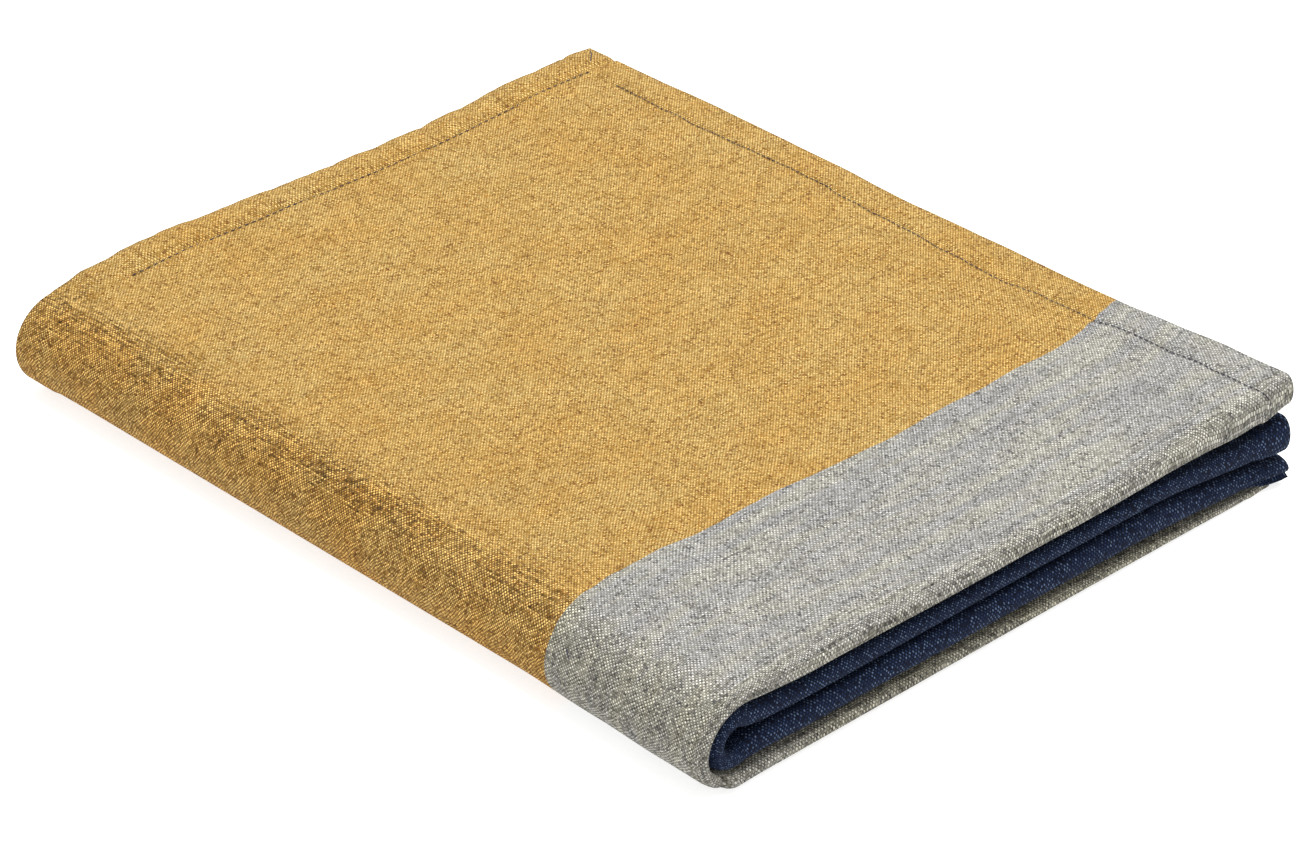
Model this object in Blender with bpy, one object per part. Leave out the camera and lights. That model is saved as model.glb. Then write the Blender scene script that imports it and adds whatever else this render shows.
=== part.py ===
# A throw blanket, folded into a flat packet: one hemmed cloth.
#
# Lengthwise the cloth goes back and forth in four layers, and those four are then folded in half
# round the long rounded side, so eight layers lie on each other.
# Metres. +X is the end that shows the turns, -Y the long rounded side, +Z up, and the packet rests on z = 0.

import math

import bmesh
import bpy
import numpy as np

# Sizes of the packet
PACKET_LENGTH = 0.440
PACKET_WIDTH = 0.350
PACKET_HEIGHT = 0.046

# Sizes of the cloth
CLOTH_THICKNESS = 0.0015
HEM_WIDTH = 0.0170
HEM_STEP = 0.0020
HEM_EXTRA = 0.0010

# How the four layers pass round the long side
SIDE_RADIUS = PACKET_HEIGHT / 2
STACK_AT_SIDE = 0.0145
STACK_REACH = 0.060
LAYER_PITCH_AT_SIDE = 0.0024
LAYER_PITCH = 0.0042
TURN_REACH = 0.080
LOW_FLAT_END = 0.0090

# Where the ends of the layers stop short of the packet's back end
HIDDEN_TURN_INSET = 0.006
TUCKED_END_INSET = 0.030

# The turns at +X, by the place across the packet: y, the outer turn's share of the stack,
# and how far the outer and the inner turn stop short of the packet's end
TOP_TURNS = (
    {"y": -0.165, "outer_share": 0.42, "outer_short": 0.0010, "inner_short": 0.0020},
    {"y": -0.110, "outer_share": 0.50, "outer_short": 0.0000, "inner_short": 0.0012},
    {"y": 0.000, "outer_share": 0.54, "outer_short": 0.0004, "inner_short": 0.0016},
    {"y": 0.110, "outer_share": 0.54, "outer_short": 0.0000, "inner_short": 0.0010},
    {"y": 0.175, "outer_share": 0.50, "outer_short": 0.0002, "inner_short": 0.0026},
)
LOW_TURNS = (
    {"y": -0.165, "outer_share": 0.48, "outer_short": 0.0010, "inner_short": 0.0020},
    {"y": -0.110, "outer_share": 0.40, "outer_short": 0.0010, "inner_short": 0.0004},
    {"y": 0.000, "outer_share": 0.37, "outer_short": 0.0014, "inner_short": 0.0002},
    {"y": 0.110, "outer_share": 0.29, "outer_short": 0.0016, "inner_short": 0.0006},
    {"y": 0.175, "outer_share": 0.29, "outer_short": 0.0010, "inner_short": 0.0022},
)

# How far the stacked hems lift the top half along the free side, by x
EDGE_LIFTS = (
    {"x": -0.220, "lift": 0.0026},
    {"x": -0.170, "lift": 0.0038},
    {"x": -0.128, "lift": 0.0048},
    {"x": -0.060, "lift": 0.0040},
    {"x": 0.000, "lift": 0.0028},
    {"x": 0.060, "lift": 0.0027},
    {"x": 0.120, "lift": 0.0032},
    {"x": 0.153, "lift": 0.0047},
    {"x": 0.184, "lift": 0.0070},
    {"x": 0.220, "lift": 0.0076},
)
EDGE_REACH = 0.145

# How far the middle of the stack sinks at the corner of the turns and the free side
CORNER_SINK = 0.0065
CORNER_SINK_FROM = {"x": 0.080, "y": 0.080}

# How far the wavy end hem rises and falls along the back end, by y
BACK_LIFTS = (
    {"y": -0.152, "lift": -0.0026},
    {"y": -0.132, "lift": 0.0012},
    {"y": -0.088, "lift": 0.0026},
    {"y": -0.042, "lift": 0.0010},
    {"y": 0.004, "lift": -0.0005},
    {"y": 0.066, "lift": -0.0007},
    {"y": 0.096, "lift": -0.0002},
    {"y": 0.127, "lift": 0.0016},
    {"y": 0.175, "lift": 0.0019},
)
BACK_REACH = 0.045

# How far the long rounded side swells out, by x
SIDE_SWELLS = (
    {"x": -0.220, "swell": 0.0002},
    {"x": -0.170, "swell": 0.0000},
    {"x": 0.100, "swell": 0.0000},
    {"x": 0.150, "swell": 0.0024},
    {"x": 0.190, "swell": 0.0042},
    {"x": 0.220, "swell": 0.0048},
)

# Soft troughs (below 0) and ridges (above 0) of the top layer: a line from start to end, its width and height
CREASES = (
    {"start": (-0.218, -0.120), "end": (-0.212, -0.030), "width": 0.016, "height": 0.0012},
    {"start": (-0.214, 0.010), "end": (-0.209, 0.150), "width": 0.014, "height": 0.0009},
    {"start": (-0.150, 0.020), "end": (-0.060, -0.075), "width": 0.030, "height": -0.0009},
    {"start": (0.020, 0.100), "end": (0.090, 0.000), "width": 0.032, "height": -0.0008},
    {"start": (-0.060, 0.120), "end": (0.010, 0.060), "width": 0.028, "height": 0.0007},
    {"start": (0.202, -0.120), "end": (0.204, 0.120), "width": 0.012, "height": 0.0004},
)

# Steps of the surface, by stretch
STEPS_LONG, STEPS_NEAR_TURN, STEPS_TURN, STEPS_HIDDEN_TURN = 9, 4, 8, 9
STEPS_ACROSS, STEPS_NEAR_SIDE, STEPS_SIDE = 6, 5, 12

# The swelling side moves the middle of the footprint off the packet's own middle line
FOOTPRINT_SHIFT = 0.0023

BACK_X, FRONT_X = -PACKET_LENGTH / 2, PACKET_LENGTH / 2
EDGE_Y, SIDE_Y = PACKET_WIDTH / 2, -PACKET_WIDTH / 2 + SIDE_RADIUS
HALF = CLOTH_THICKNESS / 2


def smooth(start, end, value):
    """0 before start, 1 after end, and an even slope between them."""
    t = min(max((value - start) / (end - start), 0.0), 1.0)
    return t * t * (3 - 2 * t)


def blend(low, high, share):
    return low + (high - low) * share


def read_table(table, key, place, column):
    """The column's value where the key column has this place, eased between the rows."""
    place = max(place, table[0][key])
    for before, after in zip(table, table[1:]):
        if place <= after[key]:
            return blend(before[column], after[column], smooth(before[key], after[key], place))
    return table[-1][column]


def crease_height(x, y):
    """How far the creases lift the top layer at this place."""
    lift = 0.0
    for crease in CREASES:
        ax, ay = crease["start"]
        bx, by = crease["end"]
        along = (x - ax) * (bx - ax) + (y - ay) * (by - ay)
        t = min(max(along / ((bx - ax) ** 2 + (by - ay) ** 2), 0.0), 1.0)
        away = math.hypot(x - blend(ax, bx, t), y - blend(ay, by, t))
        lift += crease["height"] * math.exp(-((away / crease["width"]) ** 2))
    return lift


def stations_across():
    """The lines across the packet, from the top free edge round the long side to the low free edge.

    Each is a place: the half it is in, y, the angle round the side and the way from the side's middle."""
    quarter = math.pi * SIDE_RADIUS / 2
    edge = [EDGE_Y, EDGE_Y - HEM_WIDTH, EDGE_Y - HEM_WIDTH - HEM_STEP]
    near = SIDE_Y + STACK_REACH
    flat = edge + list(np.linspace(edge[-1], near, STEPS_ACROSS + 1)[1:])
    flat += list(np.linspace(near, SIDE_Y, STEPS_NEAR_SIDE + 1)[1:])
    places = [{"half": "top", "y": y, "angle": 0.0, "way": quarter + y - SIDE_Y} for y in flat]
    for angle in np.linspace(0, math.pi, STEPS_SIDE + 1)[1:-1]:
        half = "top" if angle <= math.pi / 2 else "low"
        way = abs(angle - math.pi / 2) * SIDE_RADIUS
        places.append({"half": half, "y": SIDE_Y, "angle": angle, "way": way})
    places += [{"half": "low", "y": y, "angle": math.pi, "way": quarter + y - SIDE_Y} for y in flat[::-1]]
    return places


def line(start, end, steps):
    return list(np.linspace(start, end, steps + 1))


def section(place):
    """The four layers lengthwise at one line across: a list of (x, depth below the stack's outer face, hem)."""
    low = smooth(0, math.pi, place["angle"])

    def turn(column):
        above = read_table(TOP_TURNS, "y", place["y"], column)
        return blend(above, read_table(LOW_TURNS, "y", place["y"], column), low)

    away = smooth(0, 1, (place["way"] / STACK_REACH) ** 1.5)
    stack = blend(STACK_AT_SIDE, PACKET_HEIGHT / 2, away)
    pitch = blend(LAYER_PITCH_AT_SIDE, LAYER_PITCH, away)
    outer_tip = FRONT_X - turn("outer_short") - HALF
    inner_tip = FRONT_X - turn("inner_short") - HALF
    between = turn("outer_share") * stack
    inner = stack - pitch / 2

    def second(x):
        return blend(0.36 * stack, between - pitch / 2, smooth(FRONT_X - TURN_REACH, FRONT_X - 0.02, x))

    def tucked(x):
        return blend(0.66 * stack, between + pitch / 2, smooth(FRONT_X - TURN_REACH, FRONT_X - 0.02, x))

    outer_turn = (second(FRONT_X) - HALF) / 2
    inner_turn = (inner - tucked(FRONT_X)) / 2
    hidden_turn = (inner - second(BACK_X)) / 2
    hidden_tip = BACK_X + HIDDEN_TURN_INSET
    flat_end = blend(outer_tip - outer_turn, FRONT_X - LOW_FLAT_END, low)
    outer_reach = outer_tip - flat_end
    points = []

    hem_end = BACK_X + HEM_WIDTH
    for x in [BACK_X, hem_end, hem_end + HEM_STEP]:
        points.append((x, HALF, 1.0 if x <= hem_end else 0.0))
    for x in line(hem_end + HEM_STEP, FRONT_X - TURN_REACH, STEPS_LONG)[1:]:
        points.append((x, HALF, 0.0))
    for x in line(FRONT_X - TURN_REACH, flat_end, STEPS_NEAR_TURN)[1:]:
        points.append((x, HALF, 0.0))
    for angle in line(0, math.pi, STEPS_TURN)[1:]:
        x = flat_end + outer_reach * math.sin(angle)
        points.append((x, HALF + outer_turn * (1 - math.cos(angle)), 0.0))
    for x in line(flat_end, FRONT_X - TURN_REACH, STEPS_NEAR_TURN)[1:]:
        points.append((x, second(x), 0.0))
    for x in line(FRONT_X - TURN_REACH, hidden_tip + hidden_turn, STEPS_LONG - 5)[1:]:
        points.append((x, second(x), 0.0))
    for angle in line(0, math.pi, STEPS_HIDDEN_TURN)[1:]:
        x = hidden_tip + hidden_turn - hidden_turn * math.sin(angle)
        points.append((x, second(BACK_X) + hidden_turn * (1 - math.cos(angle)), 0.0))
    for x in line(hidden_tip + hidden_turn, FRONT_X - TURN_REACH, STEPS_LONG - 5)[1:]:
        points.append((x, inner, 0.0))
    for x in line(FRONT_X - TURN_REACH, inner_tip - inner_turn, STEPS_NEAR_TURN)[1:]:
        points.append((x, inner, 0.0))
    for angle in line(0, math.pi, STEPS_TURN)[1:]:
        x = inner_tip - inner_turn + inner_turn * math.sin(angle)
        points.append((x, inner - inner_turn * (1 - math.cos(angle)), 0.0))
    for x in line(inner_tip - inner_turn, FRONT_X - TURN_REACH, STEPS_NEAR_TURN)[1:]:
        points.append((x, tucked(x), 0.0))
    tucked_end = BACK_X + TUCKED_END_INSET
    for x in line(FRONT_X - TURN_REACH, tucked_end + HEM_WIDTH + HEM_STEP, STEPS_LONG - 5)[1:]:
        points.append((x, tucked(x), 0.0))
    for x in [tucked_end + HEM_WIDTH, tucked_end]:
        points.append((x, tucked(x), 1.0))
    return points


def top_lift(x, y):
    """How far the top face stands above the packet's plain height."""
    edge = read_table(EDGE_LIFTS, "x", x, "lift") * smooth(EDGE_Y - EDGE_REACH, EDGE_Y, y)
    back = read_table(BACK_LIFTS, "y", y, "lift") * smooth(BACK_X + BACK_REACH, BACK_X, x)
    return edge + back + crease_height(x, y) * smooth(SIDE_Y, SIDE_Y + 0.05, y)


def put_round_the_side(x, depth, place):
    """Place one point of the section: flat above, round the long side, or flat below."""
    angle, y = place["angle"], place["y"]
    share = 1 - depth / SIDE_RADIUS
    near_corner = smooth(CORNER_SINK_FROM["x"], FRONT_X, x) * smooth(CORNER_SINK_FROM["y"], EDGE_Y, y)
    sink = CORNER_SINK * near_corner * (depth - HALF) / SIDE_RADIUS
    if angle >= math.pi:
        return x, y, depth - sink
    lift = top_lift(x, y) * share * (1 + math.cos(angle)) / 2
    if angle == 0:
        return x, y, PACKET_HEIGHT - depth + lift - sink
    radius = SIDE_RADIUS - depth
    swell = read_table(SIDE_SWELLS, "x", x, "swell") * math.sin(angle) * (1 - 0.35 * math.cos(angle))
    return x, y - radius * math.sin(angle) - swell, SIDE_RADIUS + radius * math.cos(angle) + lift


def face_directions(middle):
    """The direction of the cloth's right side at every point of its middle surface."""
    along = np.gradient(middle, axis=0)
    across = np.gradient(middle, axis=1)
    outward = np.cross(across, along)
    return outward / np.linalg.norm(outward, axis=2, keepdims=True)


def make_cloth(name):
    places = stations_across()
    layers = [section(place) for place in places]
    rows, columns = len(layers[0]), len(places)
    middle = np.zeros((rows, columns, 3))
    right_side = np.full((rows, columns), HALF)
    wrong_side = np.full((rows, columns), HALF)
    for j, place in enumerate(places):
        side_hem = 1.0 if place["y"] >= EDGE_Y - HEM_WIDTH - 1e-9 else 0.0
        for i, (x, depth, end_hem) in enumerate(layers[j]):
            middle[i, j] = put_round_the_side(x, depth, place)
            hem = HEM_EXTRA * max(side_hem, end_hem)
            turned_under = 0.6 if place["half"] == "top" else 1.0
            right_side[i, j] += hem * (1 - turned_under)
            wrong_side[i, j] += hem * turned_under
    middle[:, :, 1] += FOOTPRINT_SHIFT
    outward = face_directions(middle)
    rests = (middle[:, :, 2] == HALF) & (np.array([place["angle"] for place in places]) >= math.pi)
    outward[rests] = (0.0, 0.0, -1.0)
    faces_up = middle + outward * right_side[:, :, None]
    faces_down = middle - outward * wrong_side[:, :, None]

    mesh = bmesh.new()
    up = [[mesh.verts.new(faces_up[i, j]) for j in range(columns)] for i in range(rows)]
    down = [[mesh.verts.new(faces_down[i, j]) for j in range(columns)] for i in range(rows)]
    for i in range(rows - 1):
        for j in range(columns - 1):
            mesh.faces.new((up[i][j], up[i][j + 1], up[i + 1][j + 1], up[i + 1][j]))
            mesh.faces.new((down[i][j], down[i + 1][j], down[i + 1][j + 1], down[i][j + 1]))
    for j in range(columns - 1):
        mesh.faces.new((up[0][j], down[0][j], down[0][j + 1], up[0][j + 1]))
        mesh.faces.new((up[-1][j], up[-1][j + 1], down[-1][j + 1], down[-1][j]))
    for i in range(rows - 1):
        mesh.faces.new((up[i][0], up[i + 1][0], down[i + 1][0], down[i][0]))
        mesh.faces.new((up[i][-1], down[i][-1], down[i + 1][-1], up[i + 1][-1]))
    bmesh.ops.triangulate(mesh, faces=mesh.faces)
    bmesh.ops.recalc_face_normals(mesh, faces=mesh.faces)

    data = bpy.data.meshes.new(name)
    mesh.to_mesh(data)
    mesh.free()
    cloth = bpy.data.objects.new(name, data)
    bpy.context.scene.collection.objects.link(cloth)
    return cloth


def make_material(name, colour, roughness):
    material = bpy.data.materials.new(name)
    material.use_nodes = True
    shader = material.node_tree.nodes["Principled BSDF"]
    shader.inputs["Base Color"].default_value = (*colour, 1.0)
    shader.inputs["Roughness"].default_value = roughness
    return material


for old in list(bpy.data.objects):
    bpy.data.objects.remove(old, do_unlink=True)

folded_cloth = make_cloth("folded_cloth")
folded_cloth.data.materials.append(make_material("woven_cloth", (0.61, 0.40, 0.14), 0.92))
print("folded_cloth:", len(folded_cloth.data.polygons), "triangles")
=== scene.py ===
# %% [markdown]
# # A folded throw blanket
#
# This lesson dresses a plain solid of a folded throw: a narrow lap blanket in a plain weave, ochre with a
# light grey band on the right side, navy on the wrong side. We start from the packed solid, whose sizes we
# repeat, and put in its place a fine sheet of cloth with hems, stitches and a weave of its own.

import math

import bmesh
import bpy
import numpy as np
from mathutils import Matrix, Vector


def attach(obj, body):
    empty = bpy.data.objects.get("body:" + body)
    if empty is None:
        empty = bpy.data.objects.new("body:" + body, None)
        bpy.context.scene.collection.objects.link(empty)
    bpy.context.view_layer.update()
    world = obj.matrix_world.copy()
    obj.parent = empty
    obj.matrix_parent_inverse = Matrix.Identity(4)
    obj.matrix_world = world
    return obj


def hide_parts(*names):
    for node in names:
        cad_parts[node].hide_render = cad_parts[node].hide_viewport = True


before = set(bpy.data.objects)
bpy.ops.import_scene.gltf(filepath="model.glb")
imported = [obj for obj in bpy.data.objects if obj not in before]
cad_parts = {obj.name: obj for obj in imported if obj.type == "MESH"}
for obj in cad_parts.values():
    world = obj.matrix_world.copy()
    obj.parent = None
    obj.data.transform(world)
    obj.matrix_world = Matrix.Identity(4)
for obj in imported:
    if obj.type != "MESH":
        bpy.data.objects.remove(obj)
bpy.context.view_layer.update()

# %% [markdown]
# ## The camera
#
# A long lens looks down on one corner of the packet. We could aim it by hand, but its place here comes from
# fitting the packet's outline, so we write it as two angles, a distance and the point on the floor that it
# looks at.

# %% Set up the camera
CAMERA = {"azimuth": 46.14, "elevation": 31.23, "distance": 2.185, "lens": 135.89}
LOOK_AT = Vector((-0.00525, 0.01385, 0.0))

turn, rise = math.radians(CAMERA["azimuth"]), math.radians(CAMERA["elevation"])
towards_camera = Vector((math.sin(turn) * math.cos(rise), -math.cos(turn) * math.cos(rise), math.sin(rise)))
camera_data = bpy.data.cameras.new("camera")
camera_data.sensor_width = 36.0
camera_data.lens = CAMERA["lens"]
camera_data.clip_start, camera_data.clip_end = 0.05, 50.0
camera = bpy.data.objects.new("camera", camera_data)
camera.location = LOOK_AT + towards_camera * CAMERA["distance"]
camera.rotation_mode = "QUATERNION"
camera.rotation_quaternion = (-towards_camera).to_track_quat("-Z", "Y")
bpy.context.scene.collection.objects.link(camera)
bpy.context.scene.camera = camera
print("camera at", [round(v, 3) for v in camera.location])

# %% [markdown]
# ## Floor and light
#
# The throw lies on a plain pale floor that glows a little, like a lit table in a studio, so that its own
# shadow stays faint. Several small lamps would give several shadows, so one very large soft light hangs
# above and a little behind: the top is the brightest face and the two visible sides fall off evenly. A pale
# sky fills the rest.

# %% Make the floor and the lights
FLOOR = {"half_size": 12.0, "drop": 0.0004, "grey": 0.50, "roughness": 0.9, "glow": 0.75}
SKY_STRENGTH = 0.86
SOFT_LIGHT = {"size": 2.2, "watts": 100.0, "place": Vector((0.0, 0.45, 2.2))}
WHITE = (1.0, 1.0, 1.0, 1.0)


def srgb(red, green, blue):
    """A colour as seen on a screen, 0 to 255, as the linear colour that a shader takes."""
    shares = (red / 255, green / 255, blue / 255)
    return tuple(((c + 0.055) / 1.055) ** 2.4 if c > 0.04045 else c / 12.92 for c in shares)


def plain_material(name, colour, roughness):
    material = bpy.data.materials.new(name)
    material.use_nodes = True
    shader = material.node_tree.nodes["Principled BSDF"]
    shader.inputs["Base Color"].default_value = (*colour, 1.0)
    shader.inputs["Roughness"].default_value = roughness
    return material


floor_mesh = bmesh.new()
bmesh.ops.create_grid(floor_mesh, x_segments=1, y_segments=1, size=FLOOR["half_size"])
floor_data = bpy.data.meshes.new("floor")
floor_mesh.to_mesh(floor_data)
floor_mesh.free()
floor = bpy.data.objects.new("floor", floor_data)
floor_data.transform(Matrix.Translation((0, 0, -FLOOR["drop"])))
floor_material = plain_material("pale_floor", (FLOOR["grey"],) * 3, FLOOR["roughness"])
floor_shader = floor_material.node_tree.nodes["Principled BSDF"]
floor_shader.inputs["Emission Color"].default_value = WHITE
floor_shader.inputs["Emission Strength"].default_value = FLOOR["glow"]
floor_data.materials.append(floor_material)
bpy.context.scene.collection.objects.link(floor)

world = bpy.data.worlds.new("pale_sky")
world.use_nodes = True
world.node_tree.nodes["Background"].inputs["Color"].default_value = WHITE
world.node_tree.nodes["Background"].inputs["Strength"].default_value = SKY_STRENGTH
bpy.context.scene.world = world

lamp_data = bpy.data.lights.new("soft_light", "AREA")
lamp_data.shape = "SQUARE"
lamp_data.size = SOFT_LIGHT["size"]
lamp_data.energy = SOFT_LIGHT["watts"]
lamp = bpy.data.objects.new("soft_light", lamp_data)
lamp.location = SOFT_LIGHT["place"]
lamp.rotation_mode = "QUATERNION"
lamp.rotation_quaternion = (-SOFT_LIGHT["place"]).to_track_quat("-Z", "Y")
bpy.context.scene.collection.objects.link(lamp)
bpy.context.scene.view_settings.view_transform = "Standard"
print("floor, sky and one soft light")

# %% [markdown]
# ## How the throw is folded
#
# Lengthwise the cloth goes back and forth in four layers: the top layer with its free hem at the back, a
# turn at the front, a second layer, a hidden turn at the back, an inner layer, and a tucked layer that ends
# inside. Those four are then folded in half across, round one long side. A cloth simulation could fold it,
# but would not land on the solid, so we place each point from tables instead. A point of the cloth has two
# places: how far along the four layers it is, and how far across.

# %% Sizes of the packet
LENGTH, WIDTH, HEIGHT = 0.440, 0.350, 0.046
CLOTH, HEM, HEM_EXTRA = 0.0015, 0.0170, 0.0010
HALF = CLOTH / 2
SIDE_RADIUS = HEIGHT / 2
STACK_AT_SIDE, STACK_REACH = 0.0162, 0.046
PITCH_AT_SIDE, PITCH = 0.0024, 0.0042
TURN_REACH, LOW_FLAT_END = 0.080, 0.0090
HIDDEN_INSET, TUCKED_INSET = 0.006, 0.030
FOOTPRINT_SHIFT = 0.0023
BACK_X, FRONT_X = -LENGTH / 2, LENGTH / 2
EDGE_Y, SIDE_Y = WIDTH / 2, -WIDTH / 2 + SIDE_RADIUS
print("packet", LENGTH, "by", WIDTH, "by", HEIGHT, "m, cloth", CLOTH, "m thick")

# %% Tables of the turns, the lifted edges and the swelling side
TOP_TURNS = {
    "y": (-0.165, -0.110, 0.000, 0.110, 0.140, 0.160, 0.175),
    "outer_share": (0.37, 0.50, 0.545, 0.56, 0.57, 0.53, 0.44),
    "outer_short": (0.0010, 0.0000, 0.0004, 0.0000, 0.0000, 0.0000, 0.0002),
    "inner_short": (0.0020, 0.0012, 0.0016, 0.0010, 0.0010, 0.0008, 0.0000),
}
LOW_TURNS = {
    "y": (-0.165, -0.110, 0.000, 0.110, 0.150, 0.175),
    "outer_share": (0.40, 0.40, 0.37, 0.29, 0.27, 0.24),
    "outer_short": (0.0010, 0.0010, 0.0014, 0.0016, 0.0016, 0.0030),
    "inner_short": (0.0020, 0.0004, 0.0002, 0.0006, 0.0006, -0.0006),
}
EDGE_LIFTS = {
    "x": (-0.220, -0.170, -0.128, -0.060, 0.000, 0.060, 0.120, 0.153, 0.184, 0.220),
    "lift": (0.0014, 0.0036, 0.0048, 0.0040, 0.0028, 0.0027, 0.0032, 0.0047, 0.0070, 0.0076),
}
BACK_LIFTS = {
    "y": (-0.152, -0.132, -0.088, -0.042, 0.004, 0.066, 0.096, 0.127, 0.175),
    "lift": (-0.0026, 0.0012, 0.0026, 0.0010, -0.0005, -0.0007, -0.0002, 0.0016, 0.0019),
}
SIDE_SWELLS = {
    "x": (-0.220, -0.170, 0.100, 0.150, 0.190, 0.220),
    "swell": (0.0002, 0.0000, 0.0000, 0.0018, 0.0032, 0.0036),
}
EDGE_REACH, BACK_REACH = 0.145, 0.045
CORNER_SINK, CORNER_FROM_X, CORNER_FROM_Y = 0.0092, 0.080, 0.080
TIP_SINK, TIP_FROM_Y = 0.0024, 0.150
print("the front corner of the free side is lifted", EDGE_LIFTS["lift"][-1], "m")

# %% List the soft creases
CREASES = (
    {"start": (-0.218, -0.120), "end": (-0.212, -0.030), "width": 0.016, "height": 0.0012},
    {"start": (-0.214, 0.010), "end": (-0.209, 0.150), "width": 0.014, "height": 0.0009},
    {"start": (-0.150, 0.020), "end": (-0.060, -0.075), "width": 0.030, "height": -0.0009},
    {"start": (0.020, 0.100), "end": (0.090, 0.000), "width": 0.032, "height": -0.0008},
    {"start": (-0.060, 0.120), "end": (0.010, 0.060), "width": 0.028, "height": 0.0007},
    {"start": (0.202, -0.120), "end": (0.204, 0.120), "width": 0.012, "height": 0.0004},
    {"start": (0.2125, -0.150), "end": (0.2135, -0.080), "width": 0.003, "height": 0.0006},
    {"start": (-0.178, 0.024), "end": (-0.140, 0.074), "width": 0.006, "height": 0.0008},
    {"start": (-0.186, -0.060), "end": (-0.150, -0.036), "width": 0.007, "height": 0.0006},
    {"start": (-0.176, 0.116), "end": (-0.120, 0.128), "width": 0.007, "height": 0.0007},
    {"start": (-0.104, -0.098), "end": (-0.052, -0.128), "width": 0.010, "height": 0.0006},
)
print(len(CREASES), "creases")


# %% Small helpers for easing between sizes
def smooth(start, end, value):
    """0 before start, 1 after end, and an even slope between them."""
    t = np.clip((np.asarray(value, float) - start) / (end - start), 0.0, 1.0)
    return t * t * (3 - 2 * t)


def blend(low, high, share):
    return low + (high - low) * share


def read_table(table, key, place, column):
    """The column's value where the key column has this place, eased between the rows."""
    keys, values = np.array(table[key]), np.array(table[column])
    place = np.clip(np.asarray(place, float), keys[0], keys[-1])
    row = np.clip(np.searchsorted(keys, place, side="left") - 1, 0, len(keys) - 2)
    t = (place - keys[row]) / (keys[row + 1] - keys[row])
    return values[row] + (values[row + 1] - values[row]) * t * t * (3 - 2 * t)


def hill(away, width):
    """1 at no distance, and soon 0 beyond the width."""
    return np.exp(-((away / width) ** 2))


def bump_along(start, end, width, x, y):
    """1 on the line from start to end, and 0 a little more than its width away."""
    (ax, ay), (bx, by) = start, end
    t = np.clip(((x - ax) * (bx - ax) + (y - ay) * (by - ay)) / ((bx - ax) ** 2 + (by - ay) ** 2), 0, 1)
    away = np.hypot(x - blend(ax, bx, t), y - blend(ay, by, t))
    return hill(away, width)


print("half way along a slope:", float(smooth(0.0, 1.0, 0.5)))

# %% [markdown]
# ## The uneven top
#
# A sewn hem never lies quite flat. Each seam pulls the cloth down into a narrow groove, the doubled cloth
# beside it puffs up, and the end hem scallops between the places where the thread has drawn it in. These
# could be sculpted, but sums of soft hills and waves are easier to change, so we add them as small heights
# on the top layer.

# %% Where the seams run
SIDE_SEAM = {
    "x": (-0.220, -0.181, -0.167, -0.152, -0.124, -0.099, -0.077, -0.055, -0.0205, 0.005,
          0.038, 0.070, 0.098, 0.121, 0.143, 0.172, 0.194, 0.212, 0.220),
    "y": (0.1580, 0.1575, 0.1570, 0.1561, 0.1555, 0.1571, 0.1578, 0.1574, 0.1562, 0.1561,
          0.1538, 0.1526, 0.1549, 0.1550, 0.1567, 0.1559, 0.1562, 0.1560, 0.1600),
}
END_SEAM_X = -0.2034
HEM_NOTCHES = (-0.160, -0.123, -0.097, -0.069, -0.0244, 0.0110, 0.0368, 0.066, 0.092, 0.140, 0.178)
print("the side seam is", round(EDGE_Y - SIDE_SEAM["y"][0], 4), "m inside the free side at the back")


# %% Puff up the end hem and pucker the cloth beside it
ROPE_PITCH, PUCKER_PITCH, PUCKER_REACH = 0.0085, 0.034, 0.028
PUFF = {"all": 0.0006, "scallop": 0.0011, "small": 0.0003, "rope": 0.00028}
PUCKER_HEIGHT = 0.00042
FULL_TURN = 2 * math.pi


def scallop(y):
    """0 at each deep notch of the end hem and 1 half way between two notches."""
    notches = np.array(HEM_NOTCHES)
    t = np.interp(y, notches, np.arange(len(notches))) % 1
    return np.minimum(1, 2.6 * np.minimum(t, 1 - t)) ** 0.6


def hem_puff(x, y):
    """Height of the end hem, roped and scalloped between the places where the thread draws it in."""
    from_seam = END_SEAM_X - x
    puff = smooth(0.0, 0.005, from_seam) * smooth(0.0185, 0.011, from_seam)
    rope = np.sin((x + 0.75 * y) * FULL_TURN / ROPE_PITCH + 1.6 * np.sin(y * 61))
    small = np.sin(y * FULL_TURN / 0.023 + 0.8 * np.sin(y * 47))
    puff *= smooth(EDGE_Y + 0.002, EDGE_Y - 0.014, y)
    return puff * (PUFF["all"] + PUFF["scallop"] * scallop(y) + PUFF["small"] * small + PUFF["rope"] * rope)


def puckers(x, y):
    """Short ripples that start at the end seam and fade into the cloth."""
    from_seam = np.maximum(x - END_SEAM_X, 0)
    bend = y + 0.35 * from_seam + 0.006 * np.sin(x * 55)
    ripple = np.sin(bend * FULL_TURN / PUCKER_PITCH + 1.7 * np.sin(y * 21))
    ripple = ripple + 0.6 * np.sin(bend * FULL_TURN / 0.019)
    return PUCKER_HEIGHT * ripple * np.exp(-from_seam / PUCKER_REACH) * smooth(0, 0.004, from_seam)


print("the end hem has", len(HEM_NOTCHES), "notches")


# %% Add up the heights of the top
GROOVES = {"end": 0.00090, "end_width": 0.0016, "side": 0.00045, "side_width": 0.0014}
SIDE_HEM = {"height": 0.00035, "slant": 0.00018, "slant_pitch": 0.016, "slant_width": 0.014}
SWELL, SMALL_WAVE = 0.00055, 0.00016


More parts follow.
